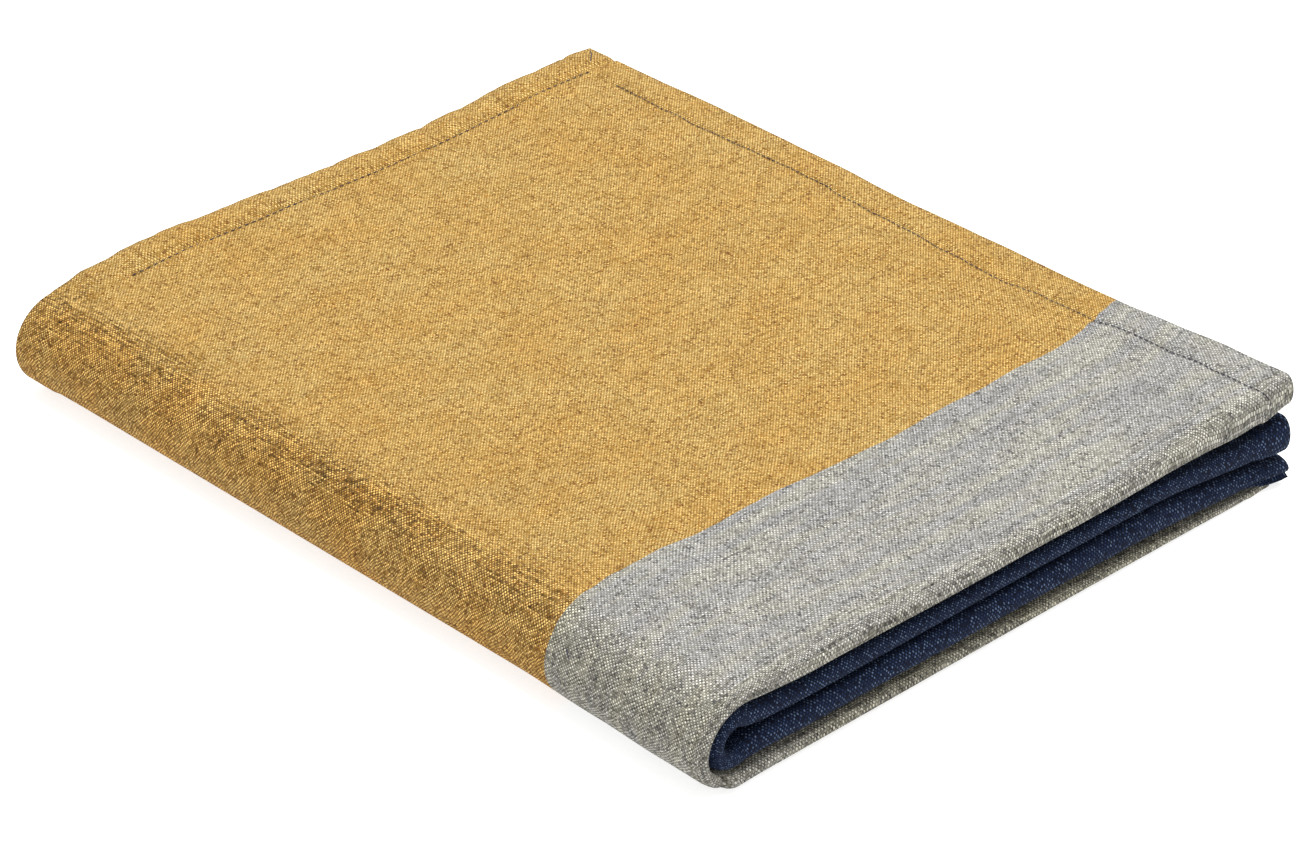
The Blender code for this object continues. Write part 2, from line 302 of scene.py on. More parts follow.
def seam_relief(x, y):
    """The grooves of both seams and the puffed hems beside them."""
    side_seam = y - read_table(SIDE_SEAM, "x", x, "y")
    end_groove = GROOVES["end"] * hill(x - END_SEAM_X, GROOVES["end_width"])
    side_groove = GROOVES["side"] * hill(side_seam, GROOVES["side_width"])
    side_hem = SIDE_HEM["height"] * smooth(0.0, 0.004, side_seam) * smooth(0.019, 0.012, side_seam)
    slant = np.sin((0.7 * x - y) * FULL_TURN / SIDE_HEM["slant_pitch"])
    slant = slant * hill(side_seam, SIDE_HEM["slant_width"])
    return hem_puff(x, y) + puckers(x, y) + side_hem + SIDE_HEM["slant"] * slant - end_groove - side_groove


def top_relief(x, y):
    """Height of the seams, hems, creases and slow waves on the top layer."""
    height = sum(c["height"] * bump_along(c["start"], c["end"], c["width"], x, y) for c in CREASES)
    swell = np.sin(x * 41 + 1.1 * np.sin(y * 23)) * np.sin(y * 37 + 0.9 * np.sin(x * 19 + 1.0))
    small = np.sin(x * 88 + 60 * y + 1.4 * np.sin(y * 57))
    small = small * np.sin(y * 96 - 31 * x + 1.2 * np.sin(x * 63))
    return height + seam_relief(x, y) + SWELL * swell + SMALL_WAVE * small


def top_lift(x, y):
    """How far the top face stands above the packet's plain height."""
    edge = read_table(EDGE_LIFTS, "x", x, "lift") * smooth(EDGE_Y - EDGE_REACH, EDGE_Y, y)
    back = read_table(BACK_LIFTS, "y", y, "lift") * smooth(BACK_X + BACK_REACH, BACK_X, x)
    return edge + back + top_relief(x, y) * smooth(SIDE_Y, SIDE_Y + 0.05, y)


seam_height = float(top_lift(END_SEAM_X, 0.0))
print("height of the end seam's middle over the plain top:", round(seam_height, 5), "m")


# %% [markdown]
# ## Lines across and lines along
#
# The sheet starts as a flat grid. Each column of the grid is one line across the packet, listed from the low
# free edge round the long side to the top free edge, and each row is one place along the four layers. Even
# steps would need far more faces, so ours are short where the cloth turns or has a seam, and longer where it
# is hidden.

# %% List the lines across the packet
SEAM_FROM_Y, SEAM_TO_Y, LOW_HEM_Y = 0.1500, 0.1600, 0.1560
CLOSER_ANGLE = 2.2


def steps(start, end, count):
    """Count equal steps from start to end, without the first point."""
    return list(np.linspace(start, end, count + 1)[1:])


def lines_across():
    near = SIDE_Y + STACK_REACH
    top = [EDGE_Y] + steps(EDGE_Y, SEAM_TO_Y, 5) + steps(SEAM_TO_Y, SEAM_FROM_Y, 8)
    top += steps(SEAM_FROM_Y, near, 70) + steps(near, SIDE_Y, 20)
    low = [EDGE_Y] + steps(EDGE_Y, LOW_HEM_Y, 4) + steps(LOW_HEM_Y, near, 26) + steps(near, SIDE_Y, 16)
    round_side = steps(math.pi, CLOSER_ANGLE, 14) + steps(CLOSER_ANGLE, 0, 20)[:-1]
    lines = [{"y": y, "angle": math.pi} for y in low]
    lines += [{"y": SIDE_Y, "angle": angle} for angle in round_side]
    lines += [{"y": y, "angle": 0.0} for y in top[::-1]]
    for place in lines:
        flat_way = place["y"] - SIDE_Y
        place["way"] = abs(place["angle"] - math.pi / 2) * SIDE_RADIUS + flat_way
        beyond = flat_way + (math.pi - place["angle"]) * SIDE_RADIUS
        place["across"] = EDGE_Y - SIDE_Y + (-flat_way if place["angle"] == math.pi else beyond)
    return lines


LINES = lines_across()
CLOTH_WIDTH = LINES[-1]["across"]
print(len(LINES), "lines across; the cloth is", round(CLOTH_WIDTH, 3), "m wide")


# %% [markdown]
# ## Four layers, one line at a time
#
# Seen from the free side, the four layers are one line that runs back and forth: straight along each layer,
# and round a half circle at each turn. A curve object could draw it, but each line across has its own turns,
# so we walk along it and note every point's place and its depth below the packet's outer face. At the low
# front corner a crease pulls the turn in, and the inner turn's free corner has a small frayed lip.

# %% Sizes of one line's turns
SECOND_SHARE, TUCKED_SHARE = 0.36, 0.66
TURN_EASED_BY, END_GROOVE = 0.02, (-0.2060, -0.2010)
LIP = {"from_y": 0.148, "to_y": 0.170, "drop": 0.0026}
LIP_SLIT = {"size": 0.0050, "angle": 2.05, "width": 0.30}
LIP_EDGE = {"size": 0.0034, "angle": 2.70, "width": 0.32}
CORNER_BULGE = {"size": 0.0012, "across": 0.3360, "width": 0.0050}
CORNER_CREASE = {"size": 0.0062, "across": 0.3395, "width": 0.0018}


def turn_size(place, column):
    """A size of the turns at this line, from the upper table, the lower one, or between them."""
    above, below = (read_table(table, "y", place["y"], column) for table in (TOP_TURNS, LOW_TURNS))
    return float(blend(above, below, float(smooth(0, math.pi, place["angle"]))))


def corner_pull(across):
    """How far the low front corner's crease pulls the outer turn in."""
    out, crease = (c["size"] * hill(across - c["across"], c["width"]) for c in (CORNER_BULGE, CORNER_CREASE))
    return float(crease - out)


def lip_reach(angle):
    """How far the frayed lip of the inner turn reaches out, or slits in, at an angle round the turn."""
    slit, edge = (c["size"] * hill(angle - c["angle"], c["width"]) for c in (LIP_SLIT, LIP_EDGE))
    return float(edge - slit)


print("the crease pulls the low front corner in by", CORNER_CREASE["size"], "m")


# %% Follow the four layers lengthwise
def section(place):
    """Four layers at one line across: x, depth below the packet's outer face, and 1 on the top layer."""
    low = float(smooth(0, math.pi, place["angle"]))
    away = float(smooth(0, 1, (place["way"] / STACK_REACH) ** 1.5))
    stack = blend(STACK_AT_SIDE, HEIGHT / 2, away)
    pitch = blend(PITCH_AT_SIDE, PITCH, away)
    between = turn_size(place, "outer_share") * stack
    inner = stack - pitch / 2
    turn_start = FRONT_X - TURN_REACH

    def second(x):
        near_turn = float(smooth(turn_start, FRONT_X - TURN_EASED_BY, x))
        return blend(SECOND_SHARE * stack, between - pitch / 2, near_turn)

    def tucked(x):
        near_turn = float(smooth(turn_start, FRONT_X - TURN_EASED_BY, x))
        return blend(TUCKED_SHARE * stack, between + pitch / 2, near_turn)

    outer_turn = (second(FRONT_X) - HALF) / 2
    inner_turn = (inner - tucked(FRONT_X)) / 2
    hidden_turn = (inner - second(BACK_X)) / 2
    outer_tip = FRONT_X - turn_size(place, "outer_short") - HALF
    inner_tip = FRONT_X - turn_size(place, "inner_short") - HALF
    flat_end = blend(outer_tip - outer_turn, FRONT_X - LOW_FLAT_END, low)
    inner_start = inner_tip - inner_turn
    hidden_start = BACK_X + HIDDEN_INSET + hidden_turn
    tucked_end = BACK_X + TUCKED_INSET

    groove_from, groove_to = END_GROOVE
    top_x = [BACK_X] + steps(BACK_X, groove_from, 6) + steps(groove_from, groove_to, 6)
    top_x += steps(groove_to, turn_start, 84) + steps(turn_start, flat_end, 26)
    points = [(x, HALF, 1.0) for x in top_x]
    turn_out = outer_tip - corner_pull(place["across"]) - flat_end
    for a in steps(0, math.pi, 18):
        depth = HALF + outer_turn * (1 - math.cos(a))
        points.append((flat_end + turn_out * math.sin(a), depth, 1.0 if a < 1.6 else 0.0))
    second_x = steps(flat_end, turn_start, 14) + steps(turn_start, hidden_start, 10)
    points += [(x, second(x), 0.0) for x in second_x]
    for a in steps(0, math.pi, 12):
        depth = second(BACK_X) + hidden_turn * (1 - math.cos(a))
        points.append((hidden_start - hidden_turn * math.sin(a), depth, 0.0))
    inner_x = steps(hidden_start, turn_start, 10) + steps(turn_start, inner_start, 14)
    points += [(x, inner, 0.0) for x in inner_x]
    lip = low * float(smooth(LIP["from_y"], LIP["to_y"], place["y"])) * (place["angle"] == math.pi)
    for a in steps(0, math.pi, 18):
        depth = inner - inner_turn * (1 - math.cos(a)) - lip * LIP["drop"] * math.sin(a / 2) ** 4
        points.append((inner_start + inner_turn * math.sin(a) + lip * lip_reach(a), depth, 0.0))
    tucked_x = steps(inner_start, turn_start, 12) + steps(turn_start, tucked_end + HEM, 9)
    points += [(x, tucked(x), 0.0) for x in tucked_x + steps(tucked_end + HEM, tucked_end, 3)]
    return np.array(points)


SECTIONS = [section(place) for place in LINES]
middle_section = SECTIONS[len(LINES) // 4]
ALONG = np.concatenate([[0], np.cumsum(np.hypot(*np.diff(middle_section[:, :2], axis=0).T))])


# %% [markdown]
# ## Round the long side
#
# Now each line is carried to its place: above the middle, round the long side as part of a circle, or below.
# Bending a flat stack with a modifier would stretch its outer layers, but here every layer keeps its own
# radius. The lifted edges, the sunk corner and the swelling side are added on the way.

# %% Fold a line of the section round the long side
def folded(x, depth, place):
    """Places of one line's points: flat above, round the long side, or flat below."""
    angle, y = place["angle"], place["y"]
    near_corner = smooth(CORNER_FROM_X, FRONT_X, x) * smooth(CORNER_FROM_Y, EDGE_Y, y)
    near_tip = smooth(CORNER_FROM_X, FRONT_X, x) * smooth(TIP_FROM_Y, EDGE_Y, y)
    sink = (CORNER_SINK * near_corner + TIP_SINK * near_tip) * (depth - HALF) / SIDE_RADIUS
    if angle >= math.pi:
        return np.stack([x, np.full_like(x, y), depth - sink], axis=1)
    lift = top_lift(x, y) * (1 - depth / SIDE_RADIUS) * (1 + math.cos(angle)) / 2
    if angle == 0:
        return np.stack([x, np.full_like(x, y), HEIGHT - depth + lift - sink], axis=1)
    radius = SIDE_RADIUS - depth
    swell = read_table(SIDE_SWELLS, "x", x, "swell") * math.sin(angle) * (1 - 0.35 * math.cos(angle))
    side = y - radius * math.sin(angle) - swell
    return np.stack([x, side, SIDE_RADIUS + radius * math.cos(angle) + lift], axis=1)


print("the long side's radius is", SIDE_RADIUS, "m")

# %% Place every point of the sheet
LOW_CORNER = {"set_back": 0.0085, "from_x": 0.180, "to_x": 0.212, "from_y": 0.120}
END_EDGE = {"scallop": 0.0013, "uneven": 0.0002, "reach": 0.004}


def fold_sheet():
    """Places of the whole sheet's points, row by row, and 1 where the cloth is doubled for a hem."""
    rows, columns = len(ALONG), len(LINES)
    place, hem = np.zeros((rows, columns, 3)), np.zeros((rows, columns))
    for j, line in enumerate(LINES):
        x, depth, top_layer = SECTIONS[j].T.copy()
        end_hem = (x < BACK_X + HEM - 1e-4) & (top_layer > 0)
        hem[:, j] = np.where(end_hem, 1.0, 1.0 if line["y"] > EDGE_Y - HEM + 1e-4 else 0.0)
        setback = 0.0
        if line["angle"] == math.pi:
            flat_part = ALONG < LENGTH - 0.01
            depth[flat_part] += HEM_EXTRA / 2 * hem[flat_part, j]
            outer = ALONG < 1.5 * LENGTH
            corner = smooth(LOW_CORNER["from_x"], LOW_CORNER["to_x"], x)
            corner = corner * smooth(LOW_CORNER["from_y"], EDGE_Y, line["y"]) * outer
            setback = LOW_CORNER["set_back"] * corner
        if line["angle"] == 0:
            out = END_EDGE["scallop"] * scallop(line["y"]) + END_EDGE["uneven"] * math.sin(line["y"] * 540)
            x = x - smooth(HEM, END_EDGE["reach"], ALONG) * out
        place[:, j] = folded(x, depth, line)
        place[:, j, 1] -= setback
    place[:, :, 1] += FOOTPRINT_SHIFT
    return place, hem


ACROSS = np.array([line["across"] for line in LINES])
PLACES, HEMS = fold_sheet()
print("the sheet has", PLACES.shape[0], "by", PLACES.shape[1], "points")

# %% [markdown]
# ## The cloth
#
# The grid operator makes one flat sheet, and every point is then moved to its folded place. A Solidify
# modifier gives the sheet its thickness, more along the hems, where the cloth is turned under. The flat
# place of each point goes into a UV map in metres, so that the weave follows the cloth round every fold. The
# grey band does not start in a straight line, because the seams draw the cloth in, so we shift the map a
# little there. Two numbers on each point say how much wear the cloth shows, with painted shade on the front
# turns, and how far a fold opens it.

# %% Say where the band lies, where the cloth shows wear and where shade is painted
BAND_AT, BAND_END = 0.3455, 0.5450
BAND_LINE = {
    "y": (-0.175, -0.161, -0.149, -0.133, -0.119, -0.108, -0.087, -0.051, -0.012, 0.026,
          0.063, 0.082, 0.102, 0.125, 0.135, 0.143, 0.153, 0.163, 0.173),
    "x": (0.1260, 0.1251, 0.1237, 0.1217, 0.1215, 0.1214, 0.1238, 0.1233, 0.1255, 0.1261,
          0.1252, 0.1262, 0.1262, 0.1281, 0.1273, 0.1260, 0.1235, 0.1215, 0.1190),
}
RUBS_AND_SHADE = (
    {"along": (0.000, 0.110), "across": 0.3920, "width": 0.0150, "amount": 0.90},
    {"along": (0.125, 0.345), "across": 0.3880, "width": 0.0150, "amount": 0.85},
    {"along": (0.345, 0.435), "across": 0.3740, "width": 0.0150, "amount": 0.25},
    # painted shade: the last two rows darken the front turns, top and low, and turn their grey olive
    {"along": (0.433, 0.445), "across": 0.5200, "width": 0.1600, "amount": 0.25},
    {"along": (0.440, 0.600), "across": 0.1600, "width": 0.1500, "amount": 0.90},
)
RUB_AND_SHADE_FADE = 0.012
print("the grey band is", round(BAND_END - BAND_AT, 4), "m wide, and", len(RUBS_AND_SHADE), "stretches are rubbed")


# %% Read the shift, the wear and painted shade, and the opening at a place on the cloth
def band_shift(along, across):
    """How far the map is shifted along the cloth to bend the edge of the grey band."""
    y = np.maximum(across - CLOTH_WIDTH + EDGE_Y, BAND_LINE["y"][0])
    near = smooth(0.10, 0.02, abs(along - BAND_AT))
    return (BAND_AT + BACK_X - read_table(BAND_LINE, "y", y, "x")) * near


def rubbed(along, across):
    """0 where the cloth is fresh, up to 1 where it shows wear, and on the front turns where shade is
    painted.
    """
    total = 0.12 * smooth(0.019, 0.012, along) + 0.15 * smooth(CLOTH_WIDTH - 0.014, CLOTH_WIDTH, across)
    for rub in RUBS_AND_SHADE:
        low, high = rub["along"]
        fade = smooth(low - RUB_AND_SHADE_FADE, low + RUB_AND_SHADE_FADE, along)
        fade = fade * smooth(high + RUB_AND_SHADE_FADE, high - RUB_AND_SHADE_FADE, along)
        total = total + rub["amount"] * fade * hill(across - rub["across"], rub["width"])
    return np.clip(total, 0, 1)


def opened(along, across):
    """0 where the cloth lies flat and 1 where a fold stretches it, so that the gaps between threads show."""
    round_side = smooth(0.4030, 0.3880, across) * smooth(0.3200, 0.3270, across)
    round_front = smooth(0.424, 0.440, along) * smooth(0.490, 0.470, along)
    return np.clip(np.maximum(round_side * smooth(0.46, 0.43, along), round_front), 0, 1)


print("the fold at the front is worn by", round(float(rubbed(LENGTH, 0.52)), 3))


# %% Make the folded cloth
def make_cloth(name):
    rows, columns = HEMS.shape
    mesh = bmesh.new()
    bmesh.ops.create_grid(mesh, x_segments=rows - 1, y_segments=columns - 1, size=1.0)
    cloth_map = mesh.loops.layers.uv.new("cloth")
    rub, opening = mesh.verts.layers.float.new("rub"), mesh.verts.layers.float.new("opened")
    where = {}
    for vert in mesh.verts:
        i = round((vert.co.x + 1) / 2 * (rows - 1))
        j = round((vert.co.y + 1) / 2 * (columns - 1))
        where[vert.index] = (i, j)
        vert.co = PLACES[i, j]
        vert[rub] = float(rubbed(ALONG[i], ACROSS[j]))
        vert[opening] = float(opened(ALONG[i], ACROSS[j]))
    for face in mesh.faces:
        face.smooth = True
        for loop in face.loops:
            i, j = where[loop.vert.index]
            loop[cloth_map].uv = (ALONG[i] + float(band_shift(ALONG[i], ACROSS[j])), ACROSS[j])
    data = bpy.data.meshes.new(name)
    mesh.to_mesh(data)
    mesh.free()
    cloth = bpy.data.objects.new(name, data)
    bpy.context.scene.collection.objects.link(cloth)
    group = cloth.vertex_groups.new(name="hem")
    hemmed = [index for index, (i, j) in where.items() if HEMS[i, j] > 0.5]
    group.add(hemmed, 1.0, "REPLACE")
    solidify = cloth.modifiers.new("thickness", "SOLIDIFY")
    solidify.thickness = CLOTH + HEM_EXTRA
    solidify.offset = 0.0
    solidify.vertex_group = "hem"
    solidify.thickness_vertex_group = CLOTH / (CLOTH + HEM_EXTRA)
    solidify.material_offset = 1
    solidify.material_offset_rim = 0
    return cloth


cloth = make_cloth("folded_throw")
print(cloth.name, "has", len(cloth.data.polygons), "faces before its thickness")

# %% [markdown]
# ## The stitches
#
# One row of dark thread holds each hem. It could be painted on, but real stitches catch the light and throw
# a shadow. A seam is drawn on the flat cloth, as distances along and across it, and the folded sheet says
# where each of its points lies. Every stitch is a tiny stretched ball, half sunk in the groove. A loose end
# of thread at one corner, and a short slub in the band, are made in the same way.

# %% Find a place on the folded cloth, and sew along a line
STITCH = {"length": 0.0027, "start": 0.0004, "lift": HALF + HEM_EXTRA / 2 + 0.00004}


def on_cloth(along, across, lift):
    """The place at these distances on the flat cloth, this far off the middle of the sheet."""
    i = np.interp(along, ALONG, np.arange(len(ALONG)))
    j = np.interp(across, ACROSS, np.arange(len(ACROSS)))
    low_i, low_j = min(int(i), len(ALONG) - 2), min(int(j), len(ACROSS) - 2)
    corner = PLACES[low_i : low_i + 2, low_j : low_j + 2]
    near, far = blend(corner[0, 0], corner[0, 1], j - low_j), blend(corner[1, 0], corner[1, 1], j - low_j)
    left, right = blend(corner[0, 0], corner[1, 0], i - low_i), blend(corner[0, 1], corner[1, 1], i - low_i)
    normal = Vector(np.cross(far - near, right - left)).normalized()
    return Vector(blend(near, far, i - low_i)) + normal * lift


def sew(mesh, path, radius, gap):
    """Stitches along a list of places on the flat cloth."""
    points = [on_cloth(along, across, STITCH["lift"]) for along, across in path]
    lengths = np.concatenate([[0], np.cumsum([(b - a).length for a, b in zip(points, points[1:])])])
    grid = np.array(points)
    made = 0
    for start in np.arange(STITCH["start"], lengths[-1] - STITCH["length"], STITCH["length"] + gap):
        first, last = (
            Vector([np.interp(way, lengths, grid[:, k]) for k in range(3)])
            for way in (start, start + STITCH["length"])
        )
        turn_to = (last - first).to_track_quat("Z", "X").to_matrix().to_4x4()
        stretch = Matrix.Diagonal((radius, radius, (last - first).length / 2, 1))
        lie = Matrix.Translation((first + last) / 2) @ turn_to @ stretch
        bmesh.ops.create_uvsphere(mesh, u_segments=6, v_segments=6, radius=1.0, matrix=lie)
        made += 1
    return made


def side_seam_across(along):
    """How far across the cloth the side seam lies, with the small wander of a sewn line."""
    wander = 0.00025 * math.sin(along * 190) + 0.00015 * math.sin(along * 470)
    seam_y = float(read_table(SIDE_SEAM, "x", min(along + BACK_X, FRONT_X), "y"))
    return CLOTH_WIDTH - EDGE_Y + wander + seam_y


print("each stitch is", STITCH["length"], "m long")

# %% Sew the seams
SIDE_SEAM_PARTS = (
    {"along": (0.036, BAND_AT), "radius": 0.00021, "gap": 0.0005},
    {"along": (BAND_AT, LENGTH + 0.009), "radius": 0.00025, "gap": 0.0005},
)
END_SEAM = {"from_edge": (0.016, 0.300), "radius": 0.00022, "gap": 0.0014}
LOOSE = {"radius": 0.00030, "gap": -0.0008}
SLUB = {"along": (0.3560, 0.3606), "across": (0.3756, 0.3715)}
LOOSE_END = {"along": (0.0024, 0.0132), "from_edge": (0.0021, 0.0126), "bend": 0.0010}

thread_mesh = bmesh.new()
stitches = 0
for part in SIDE_SEAM_PARTS:
    side_seam = [(along, side_seam_across(along)) for along in np.linspace(*part["along"], 400)]
    stitches += sew(thread_mesh, side_seam, part["radius"], part["gap"])
end_across = np.linspace(CLOTH_WIDTH - END_SEAM["from_edge"][0], CLOTH_WIDTH - END_SEAM["from_edge"][1], 400)
end_seam = [(END_SEAM_X - BACK_X + 0.0004 * math.sin(across * 47), across) for across in end_across]
stitches += sew(thread_mesh, end_seam, END_SEAM["radius"], END_SEAM["gap"])
slub_line = [(blend(*SLUB["along"], t), blend(*SLUB["across"], t)) for t in np.linspace(0, 1, 12)]
loose_end = []
for t in np.linspace(0, 1, 24):
    from_edge = blend(*LOOSE_END["from_edge"], t) - LOOSE_END["bend"] * math.sin(t * math.pi)
    loose_end.append((blend(*LOOSE_END["along"], t), CLOTH_WIDTH - from_edge))
for line in (slub_line, loose_end):
    stitches += sew(thread_mesh, line, LOOSE["radius"], LOOSE["gap"])

# %% Make the thread one piece
thread_data = bpy.data.meshes.new("hem_stitches")
thread_mesh.to_mesh(thread_data)
thread_mesh.free()
for polygon in thread_data.polygons:
    polygon.use_smooth = True
thread = bpy.data.objects.new("hem_stitches", thread_data)
bpy.context.scene.collection.objects.link(thread)
print(stitches, "stitches in", thread.name)

# %% [markdown]
# ## The weave
#
# The cloth is a plain weave: each weft thread, running across, goes over one warp thread and under the next.
# Modelling every thread would take millions of faces, so we paint them. From the flat place of each point we
# find its thread numbers, and say which thread is on top at each crossing. Then we add chance, because such
# threads are thick and thin. A material like this has many nodes, so we build it with a few short helpers.

# %% Small helpers for building nodes
class Nodes:
    """Adds nodes to one material, and takes numbers or sockets alike as inputs."""

    def __init__(self, material):
        self.tree = material.node_tree
        self.shader = self.tree.nodes["Principled BSDF"]

    def put(self, socket, value):
        if isinstance(value, bpy.types.NodeSocket):
            self.tree.links.new(value, socket)
        elif value is not None:
            socket.default_value = value

    def math(self, operation, a, b=None):
        node = self.tree.nodes.new("ShaderNodeMath")
        node.operation = operation
        for socket, value in zip(node.inputs, (a, b)):
            self.put(socket, value)
        return node.outputs[0]

    def add(self, *terms):
        total = terms[0]
        for term in terms[1:]:
            total = self.math("ADD", total, term)
        return total

    def less(self, a, b):
        return self.math("SUBTRACT", a, b)

    def times(self, *factors):
        product = factors[0]
        for factor in factors[1:]:
            product = self.math("MULTIPLY", product, factor)
        return product

    def mix(self, share, a, b, blend_type="MIX"):
        node = self.tree.nodes.new("ShaderNodeMix")
        node.data_type, node.blend_type = "RGBA", blend_type
        sockets = [socket for socket in node.inputs if socket.enabled]
        for socket, value in zip(sockets, (share, a, b)):
            self.put(socket, value)
        return [socket for socket in node.outputs if socket.enabled][0]

    def place(self, x, y, z=0.0):
        node = self.tree.nodes.new("ShaderNodeCombineXYZ")
        for socket, value in zip(node.inputs, (x, y, z)):
            self.put(socket, value)
        return node.outputs[0]

    def noise(self, where, detail=2.0, roughness=0.5):
        node = self.tree.nodes.new("ShaderNodeTexNoise")
        self.put(node.inputs["Vector"], where)
        node.inputs["Scale"].default_value = 1.0
        node.inputs["Detail"].default_value = detail
        node.inputs["Roughness"].default_value = roughness
        return node.outputs[0]

    def chance(self, where):
        node = self.tree.nodes.new("ShaderNodeTexWhiteNoise")
        self.put(node.inputs["Vector"], where)
        return node.outputs[0]

    def on_points(self, name):
        node = self.tree.nodes.new("ShaderNodeAttribute")
        node.attribute_name = name
        return node.outputs["Fac"]

    def ramp(self, value, low, high, to_low=0.0, to_high=1.0):
        node = self.tree.nodes.new("ShaderNodeMapRange")
        node.interpolation_type = "SMOOTHSTEP"
        for socket, number in zip(node.inputs, (value, low, high, to_low, to_high)):
            self.put(socket, number)
        return node.outputs[0]

    def shaded(self, colour, amount):
        return self.mix(1.0, colour, self.place(amount, amount, amount), "MULTIPLY")


print("helpers:", [name for name in vars(Nodes) if not name.startswith("_")])

# %% Number the threads
WEFT_PITCH, GREY_WEFT_PITCH, WARP_PITCH = 0.00082, 0.00094, 0.00088
THREAD_WANDER = 0.0030


class Threads:
    """What the weave knows at each point of the cloth: thread numbers, which is on top, and chances."""

    def __init__(self, n):
        self.n = n
        flat_place = n.tree.nodes.new("ShaderNodeUVMap")
        flat_place.uv_map = "cloth"
        split = n.tree.nodes.new("ShaderNodeSeparateXYZ")
        n.tree.links.new(flat_place.outputs[0], split.inputs[0])
        self.along, self.across = split.outputs[0], split.outputs[1]
        wander = n.noise(n.place(n.times(self.along, 55.0), n.times(self.across, 55.0)), 3.0)
        drift = n.times(n.less(wander, 0.5), THREAD_WANDER)
        in_grey = n.math("MAXIMUM", n.less(self.along, BAND_AT), 0.0)
        wider = n.times(in_grey, 1 / GREY_WEFT_PITCH - 1 / WEFT_PITCH)
        weft_at = n.add(n.times(n.add(self.along, drift), 1 / WEFT_PITCH), wider)
        warp_at = n.times(n.less(self.across, drift), 1 / WARP_PITCH)
        self.weft_no, self.warp_no = n.math("FLOOR", weft_at), n.math("FLOOR", warp_at)
        self.warp_over = n.times(n.math("FRACT", n.times(n.add(self.weft_no, self.warp_no), 0.5)), 2.0)
        self.dome = n.math("SQRT", n.times(self.bow(weft_at), self.bow(warp_at)))
        self.luck = n.chance(n.place(self.weft_no, self.warp_no, 1.0))
        self.fleck = n.chance(n.place(self.weft_no, self.warp_no, 5.0))

    def bow(self, thread_at):
        """1 on the middle of a thread and 0 at its edges."""
        off_middle = self.n.add(self.n.times(self.n.math("FRACT", thread_at), 2.0), -1.0)
        return self.n.less(1.0, self.n.math("POWER", self.n.math("ABSOLUTE", off_middle), 2.0))

    def by_weft(self, spread, fineness, seed, detail=2.0, roughness=0.5):
        """Noise that runs along each weft thread."""
        where = self.n.place(self.n.times(self.weft_no, spread), self.n.times(self.across, fineness), seed)
        return self.n.noise(where, detail, roughness)

    def by_warp(self, spread, fineness, seed, detail=2.0, roughness=0.5):
        """Noise that runs along each warp thread."""
        where = self.n.place(self.n.times(self.along, fineness), self.n.times(self.warp_no, spread), seed)
        return self.n.noise(where, detail, roughness)

    def by_place(self, fine_along, fine_across, seed, detail=3.0, roughness=0.6):
        """Noise that spreads over the cloth, whatever the threads."""
        x, y = self.n.times(self.along, fine_along), self.n.times(self.across, fine_across)
        return self.n.noise(self.n.place(x, y, seed), detail, roughness)


print("weft threads", WEFT_PITCH, "m apart, warp threads", WARP_PITCH, "m apart")

# %% [markdown]
# ## The right side
#
# The right side has ochre and grey weft over a duller warp. Where a fold stretches the cloth, the gaps and
# the darker warp show more, and where it shows wear, short dark dashes and lines along the threads appear.
# On the front turns the same marks are painted shade, and the grey there goes olive. The long side is
# painted more orange below its middle, as warm bounce light, and the soft clouds on the top are partly
# painted shade.
# The colours were chosen under this lesson's light, so a dye is divided by how bright that light makes the
# top.

# %% Dye the threads of the right side
LIGHT_ON_TOP = 2.36
BAND_EDGE = 0.0002


def dye(red, green, blue):
    """A thread's colour from how it looks under the lesson's light."""
    return (*(c / LIGHT_ON_TOP for c in srgb(red, green, blue)), 1.0)


def weft_colour(n, t, band, stretched):
    """Ochre in soft clouds, painted more orange down the long side as warm bounce light; grey that goes
    olive with wear and, as painted shade, on the front turns.
    """
    # these soft clouds are partly the dye's mottling and partly painted shade of the top's slow waves
    cloud = t.by_place(34.0, 22.0, 21.0)
    ochre = n.mix(n.ramp(cloud, 0.25, 0.75), dye(248, 206, 122), dye(249, 217, 140))
    ochre = n.mix(n.times(stretched, n.ramp(cloud, 0.35, 0.60)), ochre, dye(252, 202, 112))
    # painted warm bounce light: from the middle of the long side down, and on the low layer, the ochre turns
    # more orange
    ochre = n.mix(n.ramp(t.across, 0.3600, 0.3380, 0.0, 0.75), ochre, dye(254, 190, 92))
    grey = n.mix(n.ramp(t.streak, 0.35, 0.65), dye(220, 219, 219), dye(225, 222, 209))
    # olive with wear and where a fold stretches the grey; on the front turns this olive is painted warm
    # shade
    olive = n.ramp(n.add(t.rub, n.times(stretched, 0.4)), 0.0, 1.0, 0.0, 0.80)
    return n.mix(band, ochre, n.mix(olive, grey, dye(212, 206, 176)))


